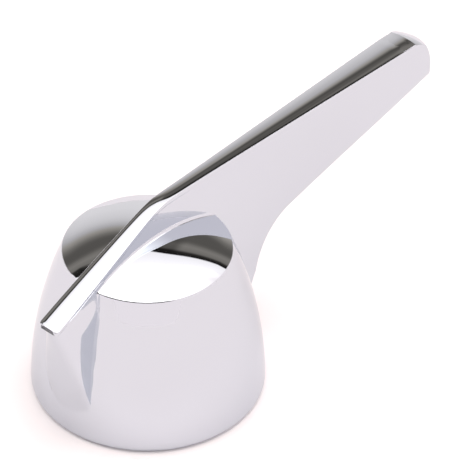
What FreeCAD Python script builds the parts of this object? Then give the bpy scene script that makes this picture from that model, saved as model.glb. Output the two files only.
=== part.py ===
import FreeCAD, Part
import math
import os
import re

import Sketcher
from FreeCAD import Vector

# Single-lever tap handle: a domed skirt, a thin fin across its cap, and a long blade lever.
# Millimetres. Origin at the centre of the bottom rim, +Z up, lever along +X, mirror plane XZ.

DRIVING_SIZES = {
    # Skirt and cap
    "rim_radius": 26.6,
    "rim_round": 1.6,
    "skirt_lean": 0.0268,
    "facet_edge_radius": 19.0,
    "facet_edge_height": 37.25,
    "facet_edge_round": 0.35,
    "cap_rise": 4.2,
    # Fin: two walls drafted about the mirror plane
    "fin_top_half": 1.6,
    "fin_draft_slope": 0.1,
    "fin_foot_height": 3.0,
    "fin_root_round": 0.7,
    # Ridge line, from the prow up to the lever top
    "lever_rise": 7.25,
    "ridge_over_edge": 1.63,
    "ridge_slope": 0.458,
    "prow_overhang": 4.8,
    "ridge_knee_drop": 0.6,
    "ridge_edge_chamfer": 0.75,
    "strip_narrowing": 0.35,
    "strip_thickness": 0.9,
    "strip_corner_radius": 0.8,
    # Keel under the prow: a rounded bow that grows out of the skirt
    "keel_hollow": 1.27,
    "keel_foot_sink": 0.4,
    "keel_root_inset": 1.5,
    "keel_side_gap": 0.1,
    "keel_side_opening": 0.05,
    # Lever blade
    "lever_reach": 92.5,
    "lever_flare": 0.0312,
    "flare_start": 11.0,
    "flare_softness": 4.0,
    "wall_softness": 0.3,
    "lever_undercut": 0.015,
    "lever_edge_chamfer": 0.2,
    "edge_fade": 5.0,
    "crown_share": 0.12,
    "band_root": 1.05,
    "band_growth": 0.0205,
    # Rounded end of the lever
    "end_plan_radius": 10.2,
    "end_top_setback": 7.4,
    "end_top_lift": 0.8,
    "end_roll_radius": 13.3,
    "end_shoulder_setback": 1.3,
    "end_shoulder_drop": 1.7,
    "end_bow": 15.1,
    "end_foot_drop": 12.0,
    # Underside of the lever, and the gusset behind the skirt
    "under_bend_overhang": 18.4,
    "under_bend_drop": 22.9,
    "under_end_drop": 10.3,
    "under_bow": 600.0,
    "gusset_bend_radius": 16.4,
    "gusset_waist_overhang": 5.2,
    "gusset_waist_height": 14.5,
    "gusset_foot_sink": 0.4,
    "gusset_foot_radius": 40.0,
    "gusset_fade_start": 15.0,
    "gusset_fade": 15.0,
    "under_edge_round": 0.8,
    # Hollow, boss and stem socket
    "wall": 2.6,
    "bore_height": 6.0,
    "ceiling_thickness": 3.25,
    "boss_radius": 8.6,
    "boss_taper": 0.6,
    "boss_foot_height": 9.0,
    "socket_width": 9.0,
    "socket_depth": 15.0,
    "rib_thickness": 1.8,
    "rib_height": 9.0,
    # Set screw and the hole that takes its key
    "screw_radius": 2.5,
    "screw_length": 5.0,
    "screw_height": 14.0,
    "screw_clearance": 0.05,
    "screw_stand_off": 0.2,
    "screw_key_width": 2.5,
    "screw_key_depth": 2.2,
    "screw_point_length": 0.9,
    "access_radius": 2.9,
}

# Heights and reaches that follow from the sizes
LEVER_TOP = "(facet_edge_height + cap_rise + lever_rise)"
PROW_REACH = "(rim_radius + prow_overhang)"
EDGE_TO_PROW = "(rim_radius + prow_overhang - facet_edge_radius)"
PROW_HEIGHT = f"(facet_edge_height + ridge_over_edge - ridge_slope * {EDGE_TO_PROW})"
STRIP_HALF = f"(fin_top_half + fin_draft_slope * ({LEVER_TOP} - {PROW_HEIGHT}) - strip_narrowing)"
UNDER_BEND_REACH = "(rim_radius + under_bend_overhang)"
GUSSET_WAIST_REACH = "(rim_radius + gusset_waist_overhang)"
CEILING = "(facet_edge_height - ceiling_thickness)"
# The skirt is one arc that leans in a little as it leaves the rim and ends at the facet edge
SKIRT_INSET = "(rim_radius - facet_edge_radius)"
SKIRT_RISE = "(facet_edge_height - rim_round)"
SKIRT_CHORD_SQUARED = f"({SKIRT_INSET} ^ 2 + {SKIRT_RISE} ^ 2)"
SKIRT_INSET_PAST_LEAN = f"({SKIRT_INSET} - skirt_lean * {SKIRT_RISE})"
SKIRT_BOW = f"({SKIRT_CHORD_SQUARED} * sqrt(1 + skirt_lean ^ 2) / (2 * {SKIRT_INSET_PAST_LEAN}))"

# How far a cutting or trimming solid reaches past what it cuts
OVERSHOOT = 2.0
# Points closer than this are the same point
TOUCH = 1e-3
# About how far apart the cross-sections lie that the skins of the blade and the keel pass through
BLADE_SECTION_GAP = 3.14
KEEL_SECTION_GAP = 6.5
SKIN_DEGREE = 5
# How far up a blade wall its middle point lies, as a share of the wall's height
MIDDLE_SHARE = 0.76
FULL_TURN = 360
# The ribs stand between the mirror plane and the plane across it
RIB_ANGLE = 45


def add_sizes(doc):
    """The driving sizes, one aliased cell each."""
    sheet = doc.addObject("Spreadsheet::Sheet", "sizes")
    for row, (name, value) in enumerate(DRIVING_SIZES.items(), start=1):
        sheet.set(f"A{row}", name)
        sheet.set(f"B{row}", str(value))
        sheet.setAlias(f"B{row}", name)
    doc.recompute()
    return sheet


def size(doc, name):
    return float(doc.getObject("sizes").get(name))


def bind(expression):
    """Puts the sheet's name before each size in an expression."""
    return re.sub(r"\b(?!sqrt\b)[a-z_]+", lambda word: f"sizes.{word.group()}", expression)


def origin_plane(body, role):
    return next(f for f in body.Origin.OriginFeatures if f.Role == role)


def new_sketch(body, role, name):
    sketch = body.newObject("Sketcher::SketchObject", name)
    sketch.AttachmentSupport = [(origin_plane(body, role), "")]
    sketch.MapMode = "FlatFace"
    return sketch


def value_of(doc, expression):
    """The number that an expression of sizes gives."""
    sheet = doc.getObject("sizes")
    return float(sheet.evalExpression(bind(expression)))


def set_corner(doc, sketch, curve, end, across, up):
    """Fixes one end of a curve at two expressions of sizes."""
    for kind, expression in (("DistanceX", across), ("DistanceY", up)):
        index = sketch.addConstraint(
            Sketcher.Constraint(kind, -1, 1, curve, end, value_of(doc, expression))
        )
        sketch.setExpression(f"Constraints[{index}]", bind(expression))


def bowed_arc(start, end, radius):
    """The short arc from start to end; a positive radius bows it to the left of that direction."""
    chord = end - start
    side = Vector(-chord.y, chord.x, 0).normalize()
    half = chord.Length / 2
    rise = abs(radius) - math.sqrt(radius * radius - half * half)
    middle = (start + end) * 0.5 + side * math.copysign(rise, radius)
    return Part.Arc(start, middle, end)


def closed_outline(doc, sketch, corners):
    """A closed outline. Each corner is (across, up), or (across, up, radius) to bow the side after it."""
    points = [Vector(value_of(doc, c[0]), value_of(doc, c[1]), 0) for c in corners]
    count = len(corners)
    for i, corner in enumerate(corners):
        start, end = points[i], points[(i + 1) % count]
        if len(corner) == 3:
            sketch.addGeometry(bowed_arc(start, end, value_of(doc, corner[2])))
        else:
            sketch.addGeometry(Part.LineSegment(start, end))
    for i, corner in enumerate(corners):
        following = (i + 1) % count
        leave = 2 if start_is_first(sketch, i, points[i]) else 1
        meet = 1 if start_is_first(sketch, following, points[following]) else 2
        sketch.addConstraint(Sketcher.Constraint("Coincident", i, leave, following, meet))
        first = 1 if start_is_first(sketch, i, points[i]) else 2
        set_corner(doc, sketch, i, first, corner[0], corner[1])
        if len(corner) == 3:
            radius = corner[2].lstrip("-")
            index = sketch.addConstraint(Sketcher.Constraint("Radius", i, abs(value_of(doc, corner[2]))))
            sketch.setExpression(f"Constraints[{index}]", bind(radius))


def start_is_first(sketch, curve, point):
    """An arc drawn clockwise is stored the other way round."""
    return (sketch.getPoint(curve, 1) - point).Length < TOUCH


def make_dome(doc):
    """Skirt and cap, solid: one profile turned about the axis."""
    body = doc.addObject("PartDesign::Body", "dome")
    profile = new_sketch(body, "XZ_Plane", "dome_profile")
    cap_radius = "(facet_edge_radius ^ 2 + cap_rise ^ 2) / (2 * cap_rise)"
    closed_outline(doc, profile, [
        ("0", "0"),
        ("rim_radius - rim_round", "0", "-rim_round"),
        ("rim_radius", "rim_round", "-" + SKIRT_BOW),
        ("facet_edge_radius", "facet_edge_height", "-" + cap_radius),
        ("0", "facet_edge_height + cap_rise"),
    ])
    turned = body.newObject("PartDesign::Revolution", "dome_turned")
    turned.Profile = profile
    turned.ReferenceAxis = (profile, ["V_Axis"])
    turned.Angle = FULL_TURN
    doc.recompute()
    edge = facet_edge_name(doc, turned.Shape)
    softened = body.newObject("PartDesign::Fillet", "facet_edge_softened")
    softened.Base = (turned, [edge])
    softened.setExpression("Radius", bind("facet_edge_round"))
    doc.recompute()
    return body


def facet_edge_name(doc, shape):
    """The sharp circle between the skirt and the cap."""
    height = size(doc, "facet_edge_height")
    radius = size(doc, "facet_edge_radius")
    for number, edge in enumerate(shape.Edges, start=1):
        circle = edge.Curve
        if isinstance(circle, Part.Circle):
            if abs(circle.Center.z - height) < TOUCH and abs(circle.Radius - radius) < TOUCH:
                return f"Edge{number}"
    raise RuntimeError("the facet edge is missing")


def soft_max(a, b, softness):
    """The larger of two values, with a smooth change from one to the other."""
    return (a + b + math.hypot(a - b, softness)) / 2


def soft_min(a, b, softness):
    """The smaller of two values, with a smooth change from one to the other."""
    return -soft_max(-a, -b, softness)


def even_steps(first, last, gap):
    """Even steps from first to last, as near to the gap as they can be."""
    count = round((last - first) / gap)
    return [first + (last - first) * i / count for i in range(count + 1)]


class Blade:
    """Cross-sections of the fin and the lever, as one smooth form along X."""

    def __init__(self, doc):
        self.get = lambda name: size(doc, name)
        self.top = value_of(doc, LEVER_TOP)
        self.prow = value_of(doc, PROW_REACH)
        self.bend = value_of(doc, UNDER_BEND_REACH)
        self.prow_height = value_of(doc, PROW_HEIGHT)
        self.strip_half = value_of(doc, STRIP_HALF)
        self.knee = (self.top - self.prow_height) / self.get("ridge_slope") - self.prow

    def edge_height(self, x):
        """Height of the two edges along the ridge and the lever top: a slope, a smooth knee and a level."""
        below_top = self.get("ridge_slope") * (self.knee - x)
        return self.top - soft_max(below_top, 0.0, 2 * self.get("ridge_knee_drop"))

    def fin_half(self, z):
        """Half thickness of the drafted fin at a height."""
        return self.get("fin_top_half") + self.get("fin_draft_slope") * (self.top - z)

    def edge_chamfer(self, x):
        """Width of the bevel on the two top edges: broad on the ridge, crisp on the lever."""
        crisp = self.get("lever_edge_chamfer")
        ridge_share = (1 - math.tanh((x - self.knee) / self.get("edge_fade"))) / 2
        return crisp + (self.get("ridge_edge_chamfer") - crisp) * ridge_share

    def wall_points(self, x):
        """Half widths and heights down one wall: top edge, band foot, middle and foot."""
        along = soft_max(x - self.get("flare_start"), 0.0, self.get("flare_softness"))
        top_z = self.edge_height(x)
        ridge_half = soft_min(self.fin_half(top_z), self.strip_half, self.get("wall_softness"))
        top = ridge_half + self.get("lever_flare") * along
        past_axis = soft_max(x, 0.0, self.get("flare_softness"))
        band = self.get("band_root") + self.get("band_growth") * past_axis
        band_z = top_z - band
        band_half = top + self.get("fin_draft_slope") * band
        foot_z = self.get("fin_foot_height")
        middle_z = foot_z + MIDDLE_SHARE * (band_z - foot_z)
        undercut = self.get("lever_undercut")
        lever_middle = band_half - undercut * (band_z - middle_z)
        middle = soft_max(self.fin_half(middle_z), lever_middle, self.get("wall_softness"))
        fade = (x - self.bend - self.get("gusset_fade_start")) / self.get("gusset_fade")
        gusset_share = (1 - math.tanh(fade)) / 2
        lever_foot = middle - undercut * (middle_z - foot_z)
        foot = gusset_share * self.fin_half(foot_z) + (1 - gusset_share) * lever_foot
        return (top, top_z), (band_half, band_z), (middle, middle_z), (foot, foot_z)

    def section(self, x):
        """The closed outline at one X: foot, drafted walls, side bands, bevelled edges and crowned top."""
        (top, top_z), band, middle, foot = self.wall_points(x)
        rise = self.get("crown_share") * top
        crown_radius = (top * top + rise * rise) / (2 * rise)
        crown_centre = top_z + rise - crown_radius
        bevel = self.edge_chamfer(x)
        on_band = (top + self.get("fin_draft_slope") * bevel, top_z - bevel)
        crown_half = top - bevel
        on_crown = (crown_half, crown_centre + math.sqrt(crown_radius ** 2 - crown_half ** 2))

        def at(point, side):
            return Vector(x, point[0] * side, point[1])

        def wall_curve(side):
            curve = Part.BSplineCurve()
            curve.interpolate([at(point, side) for point in (foot, middle, band)])
            return curve

        left_wall = wall_curve(-1)
        left_wall.reverse()
        edges = [
            Part.LineSegment(at(foot, -1), at(foot, 1)),
            wall_curve(1),
            Part.LineSegment(at(band, 1), at(on_band, 1)),
            Part.LineSegment(at(on_band, 1), at(on_crown, 1)),
            Part.Arc(at(on_crown, 1), Vector(x, 0, top_z + rise), at(on_crown, -1)),
            Part.LineSegment(at(on_crown, -1), at(on_band, -1)),
            Part.LineSegment(at(on_band, -1), at(band, -1)),
            left_wall,
        ]
        return Part.Wire([edge.toShape() for edge in edges])

    def stations(self):
        """Evenly spaced, so that the skin through the sections runs true."""
        front = -self.prow - 2 * OVERSHOOT
        end = self.get("lever_reach") + 2 * OVERSHOOT
        return even_steps(front, end, BLADE_SECTION_GAP)


def skin_through(doc, name, sections):
    """A solid whose skin passes through closed sections."""
    feature = doc.addObject("Part::Feature", name)
    solid, ruled, closed = True, False, False
    feature.Shape = Part.makeLoft(sections, solid, ruled, closed, SKIN_DEGREE)
    return feature


def make_blade(doc):
    """Fin and lever before trimming."""
    blade = Blade(doc)
    return skin_through(doc, "blade_form", [blade.section(x) for x in blade.stations()])


class Keel:
    """Level sections of the bow under the prow, open to the lever."""

    def __init__(self, doc):
        self.get = lambda name: size(doc, name)
        self.blade = Blade(doc)
        self.skirt_bow = value_of(doc, SKIRT_BOW)
        self.tip_height = self.blade.prow_height
        self.end = self.get("lever_reach") + 2 * OVERSHOOT

    def skirt_radius(self, z):
        """Radius of the bowed skirt at a height, carried on past its ends."""
        low = Vector(self.get("rim_radius"), self.get("rim_round"), 0)
        high = Vector(self.get("facet_edge_radius"), self.get("facet_edge_height"), 0)
        chord = high - low
        bow = self.skirt_bow
        inward = Vector(-chord.y, chord.x, 0).normalize()
        half = chord.Length / 2
        centre = (low + high) * 0.5 + inward * math.sqrt(bow * bow - half * half)
        return centre.x + math.sqrt(bow * bow - (z - centre.y) ** 2)

    def nose_reach(self, z):
        """How far forward the nose stands at a height: a shallow hollow from the prow to the foot."""
        foot_z = self.get("fin_foot_height")
        down = (self.tip_height - z) / (self.tip_height - foot_z)
        foot_reach = self.get("rim_radius") - self.get("keel_foot_sink")
        straight = self.blade.prow + (foot_reach - self.blade.prow) * down
        from_middle = 2 * down - 1
        return straight - self.get("keel_hollow") * (1 - from_middle * from_middle)

    def section(self, z):
        """Half an ellipse in front, and sides that open slowly behind it."""
        root = self.get("keel_root_inset") - self.skirt_radius(z)
        length = root + self.nose_reach(z)
        half = self.blade.fin_half(z) + self.get("keel_side_gap")
        end_half = half + self.get("keel_side_opening") * (self.end - root)
        unit_circle = Part.Circle(Vector(0, 0, 0), Vector(0, 0, 1), 1)
        bow = Part.ArcOfCircle(unit_circle, math.pi / 2, 3 * math.pi / 2).toBSpline()
        for number, pole in enumerate(bow.getPoles(), start=1):
            bow.setPole(number, Vector(root + length * pole.x, half * pole.y, z))
        behind = [Vector(self.end, -end_half, z), Vector(self.end, end_half, z)]
        corners = [bow.EndPoint, *behind, bow.StartPoint]
        sides = [Part.LineSegment(start, end) for start, end in zip(corners, corners[1:])]
        return Part.Wire([edge.toShape() for edge in [bow, *sides]])

    def stations(self):
        low = self.get("fin_foot_height") - OVERSHOOT
        return even_steps(low, self.blade.top + 2 * OVERSHOOT, KEEL_SECTION_GAP)


def make_strip(doc):
    """The slab along the ridge that keeps its width out to the prow, over the narrowing keel."""
    body = doc.addObject("PartDesign::Body", "ridge_strip")
    profile = new_sketch(body, "XZ_Plane", "ridge_strip_profile")
    above = f"{LEVER_TOP} + {2 * OVERSHOOT}"
    front = f"{PROW_REACH} + {2 * OVERSHOOT}"
    under_axis = f"{PROW_HEIGHT} - strip_thickness + ridge_slope * {PROW_REACH}"
    closed_outline(doc, profile, [
        (f"-({front})", above),
        (f"-({front})", f"{under_axis} - ridge_slope * ({front})"),
        ("0", under_axis),
        ("0", above),
    ])
    pad = add_pad(doc, body, profile, "ridge_strip_pad", "2 * rim_radius")
    pad.Midplane = True
    doc.recompute()
    return body


def make_front_outline(doc):
    """What the blade keeps in front: the strip along the ridge, and the bow of the keel under it."""
    keel = Keel(doc)
    bow = skin_through(doc, "keel_form", [keel.section(z) for z in keel.stations()])
    return join(doc, "Part::Fuse", "front_outline", bow, make_strip(doc))


def make_side_outline(doc):
    """What the blade keeps behind: the gusset and the underside of the lever.

    The gusset's profile turns about the axis, so the gusset dies into the round skirt evenly.
    """
    body = doc.addObject("PartDesign::Body", "blade_outline")
    above = f"{LEVER_TOP} + {2 * OVERSHOOT}"
    before = f"-({PROW_REACH} + {2 * OVERSHOOT})"
    front = new_sketch(body, "XZ_Plane", "front_profile")
    closed_outline(doc, front, [
        ("0", above),
        (before, above),
        (before, "fin_foot_height"),
        ("0", "fin_foot_height"),
    ])
    half_turn(doc, body, front, "front_turned")
    rear = new_sketch(body, "XZ_Plane", "gusset_profile")
    past_end = f"lever_reach + {OVERSHOOT}"
    closed_outline(doc, rear, [
        ("0", above),
        ("0", "fin_foot_height"),
        ("rim_radius - gusset_foot_sink", "fin_foot_height", "gusset_foot_radius"),
        (GUSSET_WAIST_REACH, "gusset_waist_height", "gusset_bend_radius"),
        (UNDER_BEND_REACH, f"{LEVER_TOP} - under_bend_drop", "-under_bow"),
        (past_end, f"{LEVER_TOP} - under_end_drop"),
        (past_end, above),
    ])
    half_turn(doc, body, rear, "gusset_turned")
    return body


def half_turn(doc, body, profile, name):
    """Turns a profile through a quarter turn to each side of the mirror plane."""
    turned = body.newObject("PartDesign::Revolution", name)
    turned.Profile = profile
    turned.ReferenceAxis = (profile, ["V_Axis"])
    turned.Midplane = True
    turned.Angle = FULL_TURN / 2
    doc.recompute()
    return turned


def make_plan_outline(doc):
    """The blunt prow seen from above, with rounded corners, open to the lever."""
    body = doc.addObject("PartDesign::Body", "plan_outline")
    outline = new_sketch(body, "XY_Plane", "plan_outline_sketch")
    wide = "rim_radius"
    front = f"-{PROW_REACH}"
    past_end = f"lever_reach + {2 * OVERSHOOT}"
    closed_outline(doc, outline, [
        (past_end, wide),
        (f"{front} + 2 * strip_corner_radius", wide),
        (f"{front} + strip_corner_radius", STRIP_HALF, "-strip_corner_radius"),
        (front, f"{STRIP_HALF} - strip_corner_radius"),
        (front, f"-({STRIP_HALF} - strip_corner_radius)", "-strip_corner_radius"),
        (f"{front} + strip_corner_radius", f"-{STRIP_HALF}"),
        (f"{front} + 2 * strip_corner_radius", f"-{wide}"),
        (past_end, f"-{wide}"),
    ])
    add_pad(doc, body, outline, "plan_outline_pad", f"{LEVER_TOP} + {2 * OVERSHOOT}")
    return body


def make_end_cutter(doc):
    """What is cut off past the lever end: a roll over the top, a shoulder and a bowed end face."""
    body = doc.addObject("PartDesign::Body", "end_cutter")
    profile = new_sketch(body, "XZ_Plane", "end_profile")
    profile.setExpression("AttachmentOffset.Base.x", bind("lever_reach - end_plan_radius"))
    above = f"{LEVER_TOP} + {2 * OVERSHOOT}"
    past_end = f"end_plan_radius + {4 * OVERSHOOT}"
    foot = f"{LEVER_TOP} - end_foot_drop"
    closed_outline(doc, profile, [
        ("end_plan_radius", foot, "-end_bow"),
        ("end_plan_radius - end_shoulder_setback", f"{LEVER_TOP} - end_shoulder_drop", "-end_roll_radius"),
        ("end_plan_radius - end_top_setback", f"{LEVER_TOP} + end_top_lift"),
        ("end_plan_radius - end_top_setback", above),
        (past_end, above),
        (past_end, foot),
    ])
    half_turn(doc, body, profile, "end_turned")
    return body


def join(doc, kind, name, base, tool):
    """A boolean of two objects."""
    result = doc.addObject(kind, name)
    result.Base = base
    result.Tool = tool
    result.Refine = True
    doc.recompute()
    return result


def round_edges(doc, name, base, rounds):
    """Rounds numbered edges; rounds is a list of (edge numbers, radius)."""
    rounded = doc.addObject("Part::Fillet", name)
    rounded.Base = base
    rounded.Edges = [(number, radius, radius) for numbers, radius in rounds for number in numbers]
    doc.recompute()
    return rounded


def make_trimmed_blade(doc):
    """The blade cut to its outlines."""
    trimmed = make_blade(doc)
    for name, make_outline in (
        ("blade_with_prow", make_front_outline),
        ("blade_with_gusset", make_side_outline),
        ("blade_in_plan", make_plan_outline),
    ):
        trimmed = join(doc, "Part::Common", name, trimmed, make_outline(doc))
    return join(doc, "Part::Cut", "blade_trimmed", trimmed, make_end_cutter(doc))


def lower_edges(doc, shape):
    """Edges where the walls of the blade meet the gusset's back and the underside of the lever."""
    foot = size(doc, "fin_foot_height")
    end = value_of(doc, f"{LEVER_TOP} - under_end_drop")
    numbers = []
    for number, edge in enumerate(shape.Edges, start=1):
        faces = shape.ancestorsOfType(edge, Part.Face)
        walls = [f for f in faces if isinstance(f.Surface, Part.BSplineSurface)]
        trims = [f.CenterOfMass for f in faces if f not in walls]
        if len(walls) == 1 and trims[0].x > 0 and foot + TOUCH < trims[0].z < end:
            numbers.append(number)
    return numbers


def make_rounded_blade(doc):
    """The blade with its lower edges rounded."""
    trimmed = make_trimmed_blade(doc)
    lower = lower_edges(doc, trimmed.Shape)
    return round_edges(doc, "blade_rounded", trimmed, [(lower, size(doc, "under_edge_round"))])


def junction_edges(joined, first, second):
    """Edges of the joined solid that lie on the skins of both of the solids it is made from."""
    numbers = []
    for number, edge in enumerate(joined.Edges, start=1):
        middle = edge.valueAt((edge.FirstParameter + edge.LastParameter) / 2)
        point = Part.Vertex(middle)
        if all(point.distToShape(skin.Shells[0])[0] < TOUCH for skin in (first, second)):
            numbers.append(number)
    return numbers


def lift_sketch(sketch, expression):
    """Moves a sketch along its own normal by an expression of sizes."""
    sketch.setExpression("AttachmentOffset.Base.z", bind(expression))


def add_pad(doc, body, profile, name, length):
    pad = body.newObject("PartDesign::Pad", name)
    pad.Profile = profile
    pad.setExpression("Length", bind(length))
    doc.recompute()
    return pad


def circle_sketch(doc, body, name, up, radius):
    """A circle on the YZ plane at a height."""
    sketch = new_sketch(body, "YZ_Plane", name)
    centre = Vector(0, value_of(doc, up), 0)
    sketch.addGeometry(Part.Circle(centre, Vector(0, 0, 1), value_of(doc, radius)))
    sketch.addConstraint(Sketcher.Constraint("PointOnObject", 0, 3, -2))
    for kind, expression, numbers in (
        ("DistanceY", up, (-1, 1, 0, 3)),
        ("Radius", radius, (0,)),
    ):
        index = sketch.addConstraint(Sketcher.Constraint(kind, *numbers, value_of(doc, expression)))
        sketch.setExpression(f"Constraints[{index}]", bind(expression))
    return sketch


def make_core(doc):
    """What is cut out of the casting: the hollow round the boss, the stem socket and the screw hole."""
    body = doc.addObject("PartDesign::Body", "core")
    below = f"-{OVERSHOOT}"
    hollow = new_sketch(body, "XZ_Plane", "hollow_profile")
    closed_outline(doc, hollow, [
        ("0", below),
        ("rim_radius - wall", below),
        ("rim_radius - wall", "bore_height", "-" + SKIRT_BOW),
        ("facet_edge_radius - wall", CEILING),
        ("boss_radius + boss_taper", CEILING),
        ("boss_radius", "boss_foot_height"),
        ("0", "boss_foot_height"),
    ])
    turned = body.newObject("PartDesign::Revolution", "hollow_turned")
    turned.Profile = hollow
    turned.ReferenceAxis = (hollow, ["V_Axis"])
    turned.Angle = FULL_TURN
    doc.recompute()

    cross = new_sketch(body, "XY_Plane", "rib_cross")
    turn = FreeCAD.Rotation(Vector(0, 0, 1), RIB_ANGLE)
    cross.AttachmentOffset = FreeCAD.Placement(Vector(0, 0, 0), turn)
    lift_sketch(cross, f"{CEILING} - rib_height")
    arm, half = "rim_radius", "rib_thickness / 2"
    closed_outline(doc, cross, [
        (arm, f"-{half}"), (arm, half), (half, half), (half, arm),
        (f"-{half}", arm), (f"-{half}", half), (f"-{arm}", half), (f"-{arm}", f"-{half}"),
        (f"-{half}", f"-{half}"), (f"-{half}", f"-{arm}"), (half, f"-{arm}"), (half, f"-{half}"),
    ])
    ribs = body.newObject("PartDesign::Pocket", "rib_slots")
    ribs.Profile = cross
    ribs.Reversed = True
    ribs.setExpression("Length", bind(f"rib_height + {OVERSHOOT}"))
    doc.recompute()

    square = new_sketch(body, "XY_Plane", "socket_outline")
    side = "socket_width / 2"
    closed_outline(doc, square, [
        (side, f"-{side}"),
        (side, side),
        (f"-{side}", side),
        (f"-{side}", f"-{side}"),
    ])
    add_pad(doc, body, square, "socket_pad", "boss_foot_height + socket_depth")

    thread_hole = circle_sketch(doc, body, "thread_hole_outline", "screw_height", "screw_radius")
    add_pad(doc, body, thread_hole, "thread_hole", "boss_radius + boss_taper")
    access = circle_sketch(doc, body, "access_outline", "screw_height", "access_radius")
    lift_sketch(access, "boss_radius + boss_taper")
    add_pad(doc, body, access, "access_hole", f"{GUSSET_WAIST_REACH} - boss_radius + {OVERSHOOT}")
    return body


def make_grub_screw(doc):
    """The set screw: a plain shank, a cut-back point and a hexagon socket for its key."""
    body = doc.addObject("PartDesign::Body", "grub_screw")
    profile = new_sketch(body, "XZ_Plane", "screw_profile")
    crest = "(screw_radius - screw_clearance)"
    closed_outline(doc, profile, [
        ("0", "0"),
        ("0", f"{crest} - screw_point_length"),
        ("screw_point_length", crest),
        ("screw_length", crest),
        ("screw_length", "0"),
    ])
    turned = body.newObject("PartDesign::Revolution", "screw_turned")
    turned.Profile = profile
    turned.ReferenceAxis = (profile, ["H_Axis"])
    turned.Angle = FULL_TURN
    doc.recompute()

    hexagon = new_sketch(body, "YZ_Plane", "key_outline")
    lift_sketch(hexagon, "screw_length")
    flat = "screw_key_width / 2"
    tip = "screw_key_width / sqrt(3)"
    corners = [
        (flat, f"-{tip} / 2"), (flat, f"{tip} / 2"), ("0", tip),
        (f"-{flat}", f"{tip} / 2"), (f"-{flat}", f"-{tip} / 2"), ("0", f"-{tip}"),
    ]
    closed_outline(doc, hexagon, corners)
    key = body.newObject("PartDesign::Pocket", "key_socket")
    key.Profile = hexagon
    key.setExpression("Length", bind("screw_key_depth"))
    doc.recompute()
    body.setExpression("Placement.Base.x", bind("socket_width / 2 + screw_stand_off"))
    body.setExpression("Placement.Base.z", bind("screw_height"))
    doc.recompute()
    return body


def make_casting(doc):
    """Skirt, fin and lever in one piece, hollowed from below."""
    dome = make_dome(doc)
    blade = make_rounded_blade(doc)
    joined = join(doc, "Part::Fuse", "handle_joined", dome, blade)
    roots = junction_edges(joined.Shape, dome.Shape, blade.Shape)
    solid = round_edges(doc, "handle_solid", joined, [(roots, size(doc, "fin_root_round"))])
    casting = join(doc, "Part::Cut", "handle_casting", solid, make_core(doc))
    return casting


def check_and_export(doc, nodes):
    """Stops on any object in error; otherwise writes one file for each node."""
    for item in doc.Objects:
        if "Invalid" in item.State or "Error" in item.State:
            raise RuntimeError(f"{item.Name} is in error")
    os.makedirs("parts", exist_ok=True)
    for node in nodes:
        if node.Shape.isNull() or not node.Shape.isValid():
            raise RuntimeError(f"{node.Label} has no valid shape")
        node.Shape.exportStep(f"parts/{node.Label}.step")


if __name__ == "__main__":
    document = FreeCAD.newDocument("tap_handle")
    add_sizes(document)
    check_and_export(document, [make_casting(document), make_grub_screw(document)])
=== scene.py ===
import math

import bmesh
import bpy
from mathutils import Matrix, Vector


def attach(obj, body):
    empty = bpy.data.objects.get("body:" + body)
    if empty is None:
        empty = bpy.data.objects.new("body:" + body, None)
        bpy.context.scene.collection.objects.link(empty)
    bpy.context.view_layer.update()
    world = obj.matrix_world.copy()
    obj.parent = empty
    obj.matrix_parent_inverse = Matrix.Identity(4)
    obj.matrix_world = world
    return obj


# Looks of a chrome lever handle on a white studio floor, seen as in the photo.
# The frame is the CAD frame, in metres: rim centre at the origin, +Z up, lever along +X.

MM = 0.001

# Camera fitted to the photo
CAMERA_PLACE = Vector((-434.26, -414.60, 523.33)) * MM
CAMERA_AZIMUTH = math.radians(-48.06)
CAMERA_ELEVATION = math.radians(38.70)
CAMERA_ROLL = math.radians(0.75)
FOCAL_PIXELS = 3500.0
PICTURE_PIXELS = 460.0
SENSOR_WIDTH = 36.0

# Studio, by degrees up from the horizon and degrees round from the point behind the part.
# The backdrop sheet fades upwards into a dark gap, and its fade comes lower at both sides.
BACKGROUND_STRENGTH = 3.2
STUDIO_TINT = (0.896, 0.851, 0.804)
TINTS = {"cool": (1.0, 0.985, 1.015), "warm": (1.0, 0.95, 0.88)}
SHEET_STOPS = (
    (0.0, 1.173, "cool"),
    (15.0, 1.148, "cool"),
    (23.0, 1.065, "cool"),
    (27.0, 1.007, "cool"),
    (31.0, 0.898, "cool"),
    (35.0, 0.709, "cool"),
    (39.0, 0.487, "warm"),
    (43.0, 0.265, "warm"),
    (46.0, 0.164, "warm"),
    (48.0, 0.145, "warm"),
)
SHEET_LEFT_SAG = 16.0
SHEET_LEFT_WIDTH = 18.0
SHEET_RIGHT_SAG = 18.0
SHEET_RIGHT_FROM = 8.0
SHEET_RIGHT_TO = 20.0
# Dim top of the gap, its black lip, and the softbox over it, which all bend down at both sides
GAP_STOPS = (
    (37.8, 0.145, "warm"),
    (41.8, 0.206, "warm"),
    (45.8, 0.326, "warm"),
    (49.8, 0.259, "warm"),
    (51.6, 0.040, "warm"),
    (54.5, 0.008, "warm"),
    (55.1, 1.500, "cool"),
    (63.0, 1.750, "cool"),
    (70.0, 3.200, "cool"),
)
GAP_FROM = 39.0
GAP_TO = 44.0
GAP_MIDDLE = 8.0
GAP_LEVEL = 14.0
GAP_BEND_WIDTH = 31.0
GAP_BEND_DROP = 10.0
GAP_BEND_POWER = 2.2
# The darkest stretch of the gap, which only the lever's top shows
GAP_SHADE = 0.5
GAP_SHADE_MIDDLE = -6.0
GAP_SHADE_FROM = 8.0
GAP_SHADE_TO = 14.0
GAP_SHADE_LOW = (38.0, 44.0)
GAP_SHADE_HIGH = (51.0, 55.0)
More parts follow.
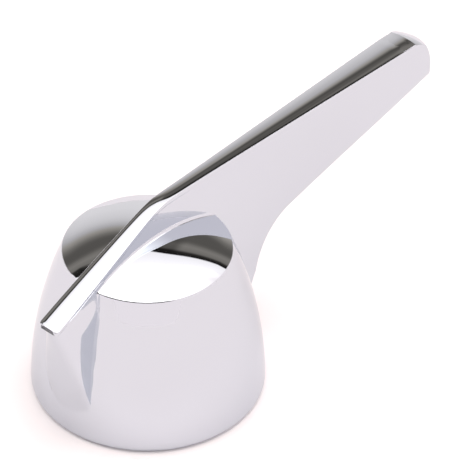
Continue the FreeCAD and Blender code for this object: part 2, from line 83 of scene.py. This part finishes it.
# Where the backdrop gives way to the side walls, and the walls to the softbox
WALL_COLOUR = (1.36, 1.285, 1.352)
SOFTBOX_COLOUR = (3.2, 3.2, 3.2)
RIGHT_WALL_FROM = 43.0
RIGHT_WALL_TO = 50.0
LEFT_WALL_FROM = 62.0
LEFT_WALL_TO = 76.0
WALL_TOP_FROM = 44.0
WALL_TOP_TO = 75.0
# The dark room behind the camera
ROOM_COLOUR = (0.07, 0.07, 0.075)
ROOM_RIGHT_FROM = 142.0
ROOM_RIGHT_TO = 150.0
ROOM_LEFT_FROM = 112.0
ROOM_LEFT_TO = 124.0
ROOM_LOW = (10.0, 18.0)
ROOM_HIGH = (52.0, 62.0)
# Degrees from the horizon to straight up, and plain colours
QUARTER_TURN = 90.0
BLACK = (0.0, 0.0, 0.0)
WHITE = (1.0, 1.0, 1.0)
# Places of the colour sockets on Blender's Mix node
MIX_FIRST = 6
MIX_SECOND = 7
MIX_RESULT = 2

# Floor, in metres
FLOOR_SIZE = 30.0
FLOOR_COLOUR = (0.94, 0.91, 0.93)
FLOOR_CAMERA_GLOW = 0.1

# Metals: their colours, and the noise that moves their roughness between its two ends
CHROME_COLOUR = (0.64, 0.675, 0.73)
CHROME_EDGE_TINT = (0.93, 0.94, 0.95)
CHROME_ROUGHNESS = (0.01, 0.035)
CHROME_PATCH_SCALE = 90.0
STEEL_COLOUR = (0.56, 0.55, 0.54)
STEEL_ROUGHNESS = (0.25, 0.4)
STEEL_PATCH_SCALE = 600.0
PATCH_FROM = 0.35
PATCH_TO = 0.65
# Shading of edges and faces
EDGE_ROUND = 0.2 * MM
EDGE_SAMPLES = 6
SHADING_WEIGHT = 50
SHARP_ANGLE = 35.0

# Sizes of the solid that the added pieces follow, in millimetres
RIM_RADIUS = 26.6
RIM_ROUND = 1.6
EDGE_RADIUS = 19.0
EDGE_HEIGHT = 37.25
SKIRT_BOW = 100.0
LEVER_TOP = 48.7
FIN_TOP_HALF = 1.6
FIN_DRAFT = 0.1
PROW_REACH = 31.4
PROW_HEIGHT = 33.2
RIDGE_SLOPE = 0.458
STRIP_THICKNESS = 0.9
KEEL_FOOT = 3.0
KEEL_FOOT_REACH = 26.2
KEEL_HOLLOW = 1.27
STRIP_HALF = 2.8
STRIP_CORNER = 0.8
STRIP_SOFTNESS = 0.3
KNEE_REACH = 2.44
KNEE_DROP = 0.6
LEVER_FLARE = 0.0312
FLARE_START = 11.0
FLARE_SOFTNESS = 4.0
CROWN_SHARE = 0.12
# Crown along the ridge and the lever: how far it reaches, how deep it goes and how far it stands off
CROWN_END = 85.3
CROWN_DEPTH = 0.85
CROWN_DEPTH_GROWTH = 0.0205
CROWN_STAND_OFF = 0.015
CROWN_SINK = 0.05
CROWN_SINK_START = 81.0
CROWN_GAP = 0.4
CROWN_TIP_STEPS = 10
CROWN_STEPS = 20
# Cheeks of the keel: how far they swell and how far in front of the skirt they stay flat
CHEEK_SWELL = 1.0
CHEEK_SWELL_HEIGHT = 5.0
CHEEK_FLAT = 3.8
CHEEK_FLAT_FALL = 0.0115
CHEEK_FLAT_HEIGHT = 31.0
CHEEK_SINK = 1.8
CHEEK_LOW = 4.0
CHEEK_HIGH = 39.0
CHEEK_ROWS = 70
CHEEK_STEPS = 40
CHEEK_INTO_STRIP = 0.3


def new_nodes(owner):
    """Turns on the node tree of a world or a material, and empties it."""
    owner.use_nodes = True
    tree = owner.node_tree
    tree.nodes.clear()
    return tree


def add_node(tree, kind, **settings):
    """Adds one node with its settings."""
    node = tree.nodes.new(kind)
    for name, value in settings.items():
        setattr(node, name, value)
    return node


def feed(tree, value, socket):
    """Joins an output to a socket, or sets the socket to a plain value."""
    if isinstance(value, bpy.types.NodeSocket):
        tree.links.new(value, socket)
    else:
        socket.default_value = value


def maths(tree, operation, first, second=0.0):
    """The result of one operation on one or two values."""
    node = add_node(tree, "ShaderNodeMath", operation=operation)
    feed(tree, first, node.inputs[0])
    feed(tree, second, node.inputs[1])
    return node.outputs[0]


def remap(tree, value, low, high, to_low=0.0, to_high=1.0):
    """A smooth step from one value to another, as the input goes from low to high."""
    node = add_node(tree, "ShaderNodeMapRange", interpolation_type="SMOOTHSTEP")
    for name, item in (
        ("Value", value),
        ("From Min", low),
        ("From Max", high),
        ("To Min", to_low),
        ("To Max", to_high),
    ):
        feed(tree, item, node.inputs[name])
    return node.outputs["Result"]


def mix_colours(tree, factor, first, second):
    """The first colour where the factor is 0, and the second where it is 1."""
    node = add_node(tree, "ShaderNodeMix", data_type="RGBA")
    feed(tree, factor, node.inputs["Factor"])
    for place, colour in ((MIX_FIRST, first), (MIX_SECOND, second)):
        value = colour if isinstance(colour, bpy.types.NodeSocket) else (*colour, 1.0)
        feed(tree, value, node.inputs[place])
    return node.outputs[MIX_RESULT]


def ramp_by_angle(tree, angle, stops):
    """Colour by an angle up from the horizon, through stops of (angle, colour)."""
    ramp = add_node(tree, "ShaderNodeValToRGB")
    feed(tree, maths(tree, "DIVIDE", angle, QUARTER_TURN), ramp.inputs["Fac"])
    elements = ramp.color_ramp.elements
    while len(elements) < len(stops):
        elements.new(1.0)
    for element, (stop, colour) in zip(elements, stops):
        element.position = stop / QUARTER_TURN
        element.color = (*as_shown(colour), 1.0)
    return ramp.outputs["Color"]


def as_shown(colour):
    """A colour of the studio in its warm light, as a share of the background's strength."""
    return tuple(c * warm / BACKGROUND_STRENGTH for c, warm in zip(colour, STUDIO_TINT))


def tinted(stops):
    """Stops of (angle, level, tint) as stops of (angle, colour)."""
    return [(angle, tuple(level * c for c in TINTS[tint])) for angle, level, tint in stops]


def in_degrees(tree, angle):
    """An angle in degrees, from one in radians."""
    return maths(tree, "MULTIPLY", angle, math.degrees(1.0))


def sheet_colour(tree, height, left, right):
    """The backdrop sheet, whose fade sags to both sides of the point behind the part."""
    level = maths(tree, "EXPONENT", maths(tree, "DIVIDE", left, -SHEET_LEFT_WIDTH))
    left_sag = maths(tree, "MULTIPLY", maths(tree, "SUBTRACT", 1.0, level), SHEET_LEFT_SAG)
    right_sag = remap(tree, right, SHEET_RIGHT_FROM, SHEET_RIGHT_TO, 0.0, SHEET_RIGHT_SAG)
    sag = maths(tree, "ADD", left_sag, right_sag)
    return ramp_by_angle(tree, maths(tree, "ADD", height, sag), tinted(SHEET_STOPS))


def gap_angle(tree, height, round_left):
    """The height of a point over the bent line of the gap."""
    aside = maths(tree, "ABSOLUTE", maths(tree, "SUBTRACT", round_left, GAP_MIDDLE))
    past = maths(tree, "MAXIMUM", maths(tree, "SUBTRACT", aside, GAP_LEVEL), 0.0)
    bend = maths(tree, "POWER", maths(tree, "DIVIDE", past, GAP_BEND_WIDTH), GAP_BEND_POWER)
    return maths(tree, "ADD", height, maths(tree, "MULTIPLY", bend, GAP_BEND_DROP))


def gap_shade(tree, over_gap, round_left):
    """How much the darkest stretch of the gap takes away."""
    aside = maths(tree, "ABSOLUTE", maths(tree, "SUBTRACT", round_left, GAP_SHADE_MIDDLE))
    shade = remap(tree, aside, GAP_SHADE_FROM, GAP_SHADE_TO, GAP_SHADE, 0.0)
    shade = maths(tree, "MULTIPLY", shade, remap(tree, over_gap, *GAP_SHADE_LOW))
    return maths(tree, "MULTIPLY", shade, remap(tree, over_gap, *GAP_SHADE_HIGH, 1.0, 0.0))


def studio_colour(tree):
    """The studio by direction: backdrop and softbox, side walls, and a dark room behind the camera."""
    place = add_node(tree, "ShaderNodeTexCoord")
    turn = add_node(tree, "ShaderNodeMapping", vector_type="POINT")
    feed(tree, place.outputs["Generated"], turn.inputs["Vector"])
    turn.inputs["Rotation"].default_value = (0.0, 0.0, -CAMERA_AZIMUTH)
    parts = add_node(tree, "ShaderNodeSeparateXYZ")
    feed(tree, turn.outputs["Vector"], parts.inputs["Vector"])
    side, back, up = (parts.outputs[name] for name in "XYZ")
    round_right = in_degrees(tree, maths(tree, "ARCTAN2", side, back))
    round_left = maths(tree, "MULTIPLY", round_right, -1.0)
    right = maths(tree, "MAXIMUM", round_right, 0.0)
    left = maths(tree, "MAXIMUM", round_left, 0.0)
    height = in_degrees(tree, maths(tree, "ARCSINE", up))

    sheet = sheet_colour(tree, height, left, right)
    over_gap = gap_angle(tree, height, round_left)
    gap = ramp_by_angle(tree, over_gap, tinted(GAP_STOPS))
    middle = mix_colours(tree, remap(tree, over_gap, GAP_FROM, GAP_TO), sheet, gap)
    middle = mix_colours(tree, gap_shade(tree, over_gap, round_left), middle, BLACK)

    over_wall = remap(tree, height, WALL_TOP_FROM, WALL_TOP_TO)
    walls = mix_colours(tree, over_wall, as_shown(WALL_COLOUR), as_shown(SOFTBOX_COLOUR))
    at_right = remap(tree, right, RIGHT_WALL_FROM, RIGHT_WALL_TO)
    at_left = remap(tree, left, LEFT_WALL_FROM, LEFT_WALL_TO)
    studio = mix_colours(tree, maths(tree, "MAXIMUM", at_right, at_left), middle, walls)

    room_right = remap(tree, right, ROOM_RIGHT_FROM, ROOM_RIGHT_TO)
    room_left = remap(tree, left, ROOM_LEFT_FROM, ROOM_LEFT_TO)
    room = maths(tree, "MAXIMUM", room_right, room_left)
    room = maths(tree, "MULTIPLY", room, remap(tree, height, *ROOM_LOW))
    room = maths(tree, "MULTIPLY", room, remap(tree, height, *ROOM_HIGH, 1.0, 0.0))
    return mix_colours(tree, room, studio, as_shown(ROOM_COLOUR))


def build_world():
    """Studio seen in the chrome. The camera itself sees plain white."""
    world = bpy.data.worlds.new("studio")
    bpy.context.scene.world = world
    tree = new_nodes(world)
    path = add_node(tree, "ShaderNodeLightPath")
    seen = mix_colours(tree, path.outputs["Is Camera Ray"], studio_colour(tree), WHITE)
    background = add_node(tree, "ShaderNodeBackground")
    feed(tree, seen, background.inputs["Color"])
    feed(tree, BACKGROUND_STRENGTH, background.inputs["Strength"])
    output = add_node(tree, "ShaderNodeOutputWorld")
    feed(tree, background.outputs[0], output.inputs["Surface"])


def build_floor():
    """A pale floor that takes the shadow, with a little glow for the camera alone."""
    bpy.ops.mesh.primitive_plane_add(size=FLOOR_SIZE)
    floor = bpy.context.object
    floor.name = "floor"
    material = bpy.data.materials.new("floor")
    tree = new_nodes(material)
    diffuse = add_node(tree, "ShaderNodeBsdfDiffuse")
    feed(tree, (*FLOOR_COLOUR, 1.0), diffuse.inputs["Color"])
    glow = add_node(tree, "ShaderNodeEmission")
    path = add_node(tree, "ShaderNodeLightPath")
    strength = maths(tree, "MULTIPLY", path.outputs["Is Camera Ray"], FLOOR_CAMERA_GLOW)
    feed(tree, strength, glow.inputs["Strength"])
    both = add_node(tree, "ShaderNodeAddShader")
    feed(tree, diffuse.outputs[0], both.inputs[0])
    feed(tree, glow.outputs[0], both.inputs[1])
    output = add_node(tree, "ShaderNodeOutputMaterial")
    feed(tree, both.outputs[0], output.inputs["Surface"])
    floor.data.materials.append(material)


def metal(name, colour, edge_tint, roughness_range, patch_scale):
    """A metal whose polish varies a little from patch to patch."""
    material = bpy.data.materials.new(name)
    tree = new_nodes(material)
    shader = add_node(tree, "ShaderNodeBsdfPrincipled")
    feed(tree, (*colour, 1.0), shader.inputs["Base Color"])
    feed(tree, (*edge_tint, 1.0), shader.inputs["Specular Tint"])
    feed(tree, 1.0, shader.inputs["Metallic"])
    place = add_node(tree, "ShaderNodeTexCoord")
    patches = add_node(tree, "ShaderNodeTexNoise")
    feed(tree, place.outputs["Object"], patches.inputs["Vector"])
    feed(tree, patch_scale, patches.inputs["Scale"])
    roughness = remap(tree, patches.outputs["Fac"], PATCH_FROM, PATCH_TO, *roughness_range)
    feed(tree, roughness, shader.inputs["Roughness"])
    edges = add_node(tree, "ShaderNodeBevel", samples=EDGE_SAMPLES)
    feed(tree, EDGE_ROUND, edges.inputs["Radius"])
    feed(tree, edges.outputs["Normal"], shader.inputs["Normal"])
    output = add_node(tree, "ShaderNodeOutputMaterial")
    feed(tree, shader.outputs[0], output.inputs["Surface"])
    return material


def wear(obj, material):
    """Gives an object one material in place of those it had."""
    obj.data.materials.clear()
    obj.data.materials.append(material)


def weigh_shading(obj):
    """Weighs the shading by area and corner angle, so that slivers don't bend the broad faces."""
    modifier = obj.modifiers.new("weighed_shading", "WEIGHTED_NORMAL")
    modifier.mode = "FACE_AREA_WITH_ANGLE"
    modifier.weight = SHADING_WEIGHT
    modifier.keep_sharp = True


def smooth_share(value):
    """0 below 0, 1 above 1, and smooth in between."""
    share = min(max(value, 0.0), 1.0)
    return share * share * (3.0 - 2.0 * share)


def strip_underside(x):
    """Height of the underside of the strip along the ridge."""
    return PROW_HEIGHT - STRIP_THICKNESS + RIDGE_SLOPE * (x + PROW_REACH)


def skirt_radius(z):
    """Radius of the bowed skirt at a height."""
    low, high = Vector((RIM_RADIUS, RIM_ROUND)), Vector((EDGE_RADIUS, EDGE_HEIGHT))
    chord = high - low
    inward = Vector((-chord.y, chord.x)).normalized()
    depth = math.sqrt(SKIRT_BOW ** 2 - (chord.length / 2) ** 2)
    centre = (low + high) / 2 + inward * depth
    return centre.x + math.sqrt(SKIRT_BOW ** 2 - (z - centre.y) ** 2)


def cheek_half(x, z):
    """Half width of the keel: the drafted fin, and a swell that dies out under the strip."""
    fin = FIN_TOP_HALF + FIN_DRAFT * (LEVER_TOP - z)
    return fin + CHEEK_SWELL * smooth_share((strip_underside(x) - z) / CHEEK_SWELL_HEIGHT)


def cheek_section(z):
    """Level outline of the keel: flat cheeks out to the nose, and half an ellipse round it."""
    down = (PROW_HEIGHT - z) / (PROW_HEIGHT - KEEL_FOOT)
    from_middle = 2.0 * down - 1.0
    straight = PROW_REACH + (KEEL_FOOT_REACH - PROW_REACH) * down
    nose = straight - KEEL_HOLLOW * (1.0 - from_middle * from_middle)
    flat = CHEEK_FLAT - CHEEK_FLAT_FALL * (z - CHEEK_FLAT_HEIGHT) ** 2
    bend = skirt_radius(z) + flat
    root = skirt_radius(z) - CHEEK_SINK
    side = []
    for i in range(CHEEK_STEPS + 1):
        reach = root + (nose - root) * math.sin(math.pi / 2 * i / CHEEK_STEPS)
        past_bend = min(max((reach - bend) / (nose - bend), 0.0), 1.0)
        half = cheek_half(-min(reach, bend), z) * math.sqrt(1.0 - past_bend * past_bend)
        side.append((-reach, half))
    mirrored = [(x, -y) for x, y in reversed(side[:-1])]
    return [Vector((x, y, z)) * MM for x, y in side + mirrored]


def skin_rows(sections):
    """A closed mesh through a row of closed sections with the same number of points."""
    mesh = bmesh.new()
    rows = [[mesh.verts.new(point) for point in section] for section in sections]
    for lower, upper in zip(rows, rows[1:]):
        for i in range(len(lower)):
            j = (i + 1) % len(lower)
            mesh.faces.new((lower[i], lower[j], upper[j], upper[i]))
    mesh.faces.new(list(reversed(rows[0])))
    mesh.faces.new(rows[-1])
    bmesh.ops.recalc_face_normals(mesh, faces=mesh.faces[:])
    return mesh


def add_piece(name, mesh, material):
    """Turns a mesh into a smooth piece of the casting."""
    data = bpy.data.meshes.new(name)
    mesh.to_mesh(data)
    mesh.free()
    piece = bpy.data.objects.new(name, data)
    bpy.context.scene.collection.objects.link(piece)
    data.shade_smooth()
    data.set_sharp_from_angle(angle=math.radians(SHARP_ANGLE))
    wear(piece, material)
    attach(piece, "root")


def soft_max(a, b, softness):
    """The larger of two values, with a smooth change from one to the other."""
    return (a + b + math.hypot(a - b, softness)) / 2


def crown_section(x):
    """Cross-section of the crown: an arc from edge to edge over two drafted sides."""
    edge = LEVER_TOP - soft_max(RIDGE_SLOPE * (KNEE_REACH - x), 0.0, 2 * KNEE_DROP)
    fin = FIN_TOP_HALF + FIN_DRAFT * (LEVER_TOP - edge)
    half = -soft_max(-fin, -STRIP_HALF, STRIP_SOFTNESS)
    half += LEVER_FLARE * soft_max(x - FLARE_START, 0.0, FLARE_SOFTNESS)
    from_tip = x + PROW_REACH
    if from_tip < STRIP_CORNER:
        inset = STRIP_CORNER - math.sqrt(STRIP_CORNER ** 2 - (STRIP_CORNER - from_tip) ** 2)
        half -= inset
    rise = CROWN_SHARE * half
    radius = (half * half + rise * rise) / (2 * rise)
    sunk = smooth_share((x - CROWN_SINK_START) / (CROWN_END - CROWN_SINK_START))
    stand_off = CROWN_STAND_OFF - CROWN_SINK * sunk
    wide = half + stand_off
    top = []
    for i in range(CROWN_STEPS + 1):
        y = half * (2 * i / CROWN_STEPS - 1)
        arch = math.sqrt(radius * radius - y * y) - (radius - rise)
        top.append((y * wide / half, edge + arch + stand_off))
    depth = CROWN_DEPTH + CROWN_DEPTH_GROWTH * soft_max(x, 0.0, FLARE_SOFTNESS)
    foot = wide + FIN_DRAFT * depth
    outline = [(-foot, edge - depth), *top, (foot, edge - depth)]
    return [Vector((x, y, z)) * MM for y, z in outline]


def build_ridge_crown(material):
    """The arched top of the ridge and the lever, crisp at both edges, over the solid's bevels."""
    turns = [math.pi / 2 * i / CROWN_TIP_STEPS for i in range(CROWN_TIP_STEPS)]
    tip = [STRIP_CORNER * (1 - math.cos(turn)) for turn in turns]
    length = CROWN_END + PROW_REACH - STRIP_CORNER
    count = round(length / CROWN_GAP)
    rest = [STRIP_CORNER + length * i / count for i in range(count + 1)]
    mesh = skin_rows([crown_section(along - PROW_REACH) for along in tip + rest])
    add_piece("ridge_crown", mesh, material)


def build_keel_cheeks(material):
    """The full flanks of the keel under the prow, over the slimmer keel of the solid."""
    step = (CHEEK_HIGH - CHEEK_LOW) / CHEEK_ROWS
    mesh = skin_rows([cheek_section(CHEEK_LOW + step * i) for i in range(CHEEK_ROWS + 1)])
    under_strip = Vector((0.0, 0.0, strip_underside(0.0) + CHEEK_INTO_STRIP)) * MM
    cut = bmesh.ops.bisect_plane(
        mesh,
        geom=mesh.verts[:] + mesh.edges[:] + mesh.faces[:],
        plane_co=under_strip,
        plane_no=Vector((-RIDGE_SLOPE, 0.0, 1.0)),
        clear_outer=True,
    )
    rim = [item for item in cut["geom_cut"] if isinstance(item, bmesh.types.BMEdge)]
    bmesh.ops.holes_fill(mesh, edges=rim)
    bmesh.ops.recalc_face_normals(mesh, faces=mesh.faces[:])
    add_piece("keel_cheeks", mesh, material)


def place_camera():
    """The camera of the photo."""
    a, e = CAMERA_AZIMUTH, CAMERA_ELEVATION
    back = Vector((math.sin(a) * math.cos(e), -math.cos(a) * math.cos(e), math.sin(e)))
    level = Vector((math.cos(a), math.sin(a), 0.0))
    upright = back.cross(level)
    right = level * math.cos(CAMERA_ROLL) + upright * math.sin(CAMERA_ROLL)
    up = upright * math.cos(CAMERA_ROLL) - level * math.sin(CAMERA_ROLL)
    data = bpy.data.cameras.new("camera")
    data.sensor_width = SENSOR_WIDTH
    data.lens = FOCAL_PIXELS / PICTURE_PIXELS * SENSOR_WIDTH
    camera = bpy.data.objects.new("camera", data)
    bpy.context.scene.collection.objects.link(camera)
    turn = Matrix((right, up, back)).transposed().to_4x4()
    camera.matrix_world = Matrix.Translation(CAMERA_PLACE) @ turn
    bpy.context.scene.camera = camera


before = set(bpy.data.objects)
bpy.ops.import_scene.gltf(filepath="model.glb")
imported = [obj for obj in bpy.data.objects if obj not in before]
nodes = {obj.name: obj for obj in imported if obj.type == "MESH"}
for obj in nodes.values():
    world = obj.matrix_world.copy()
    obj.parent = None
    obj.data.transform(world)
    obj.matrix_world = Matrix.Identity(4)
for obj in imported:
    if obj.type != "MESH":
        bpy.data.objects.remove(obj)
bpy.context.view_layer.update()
bpy.context.scene.view_settings.view_transform = "Standard"

chrome = metal("chrome", CHROME_COLOUR, CHROME_EDGE_TINT, CHROME_ROUGHNESS, CHROME_PATCH_SCALE)
steel = metal("steel", STEEL_COLOUR, STEEL_COLOUR, STEEL_ROUGHNESS, STEEL_PATCH_SCALE)
wear(nodes["handle_casting"], chrome)
wear(nodes["grub_screw"], steel)
weigh_shading(nodes["handle_casting"])
build_keel_cheeks(chrome)
build_ridge_crown(chrome)
build_world()
build_floor()
place_camera()
